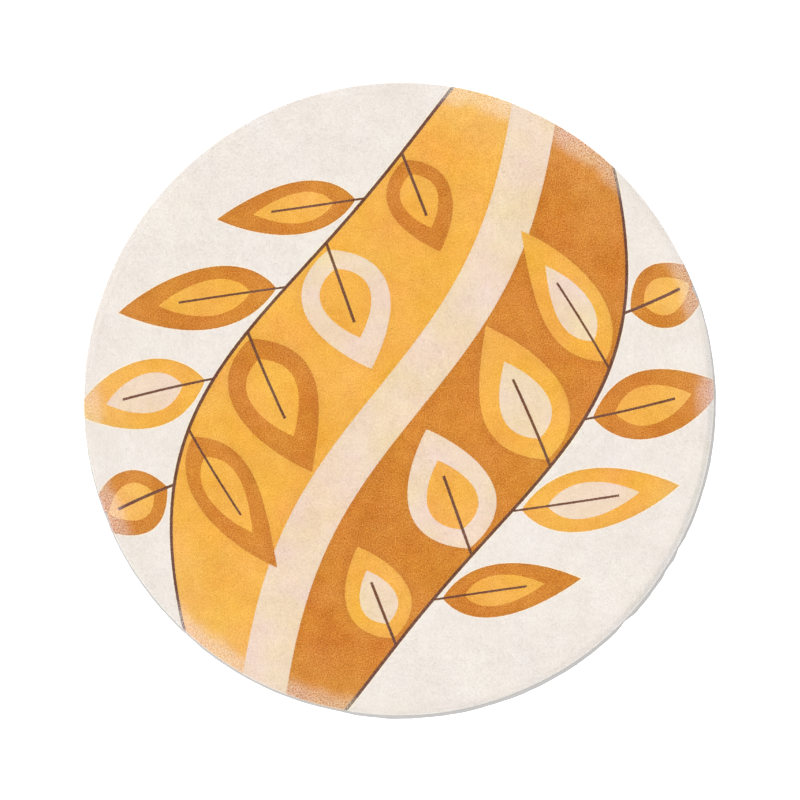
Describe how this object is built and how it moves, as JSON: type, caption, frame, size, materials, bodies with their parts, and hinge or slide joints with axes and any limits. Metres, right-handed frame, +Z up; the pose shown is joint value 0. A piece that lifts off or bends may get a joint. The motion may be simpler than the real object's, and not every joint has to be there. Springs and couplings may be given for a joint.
{
  "type": "play rug",
  "caption": "Round children's play rug of short plush with a rolled rim, bonded to a thin grey felt backing and lying flat on the floor.",
  "frame": {"origin": "on the floor, at the middle of the rug's box", "axes": "+Z up out of the pile; +Y towards the top of the picture; +X towards its right"},
  "size_m": [1.2032, 1.2102, 0.0119],
  "materials": {
    "plush": "short brushed plush, printed in caramel, golden yellow, peach and dark brown on cream",
    "felt": "matt pressed grey felt"
  },
  "bodies": {
    "root": {"plush": "plush", "felt": "felt"}
  },
  "joints": []
}
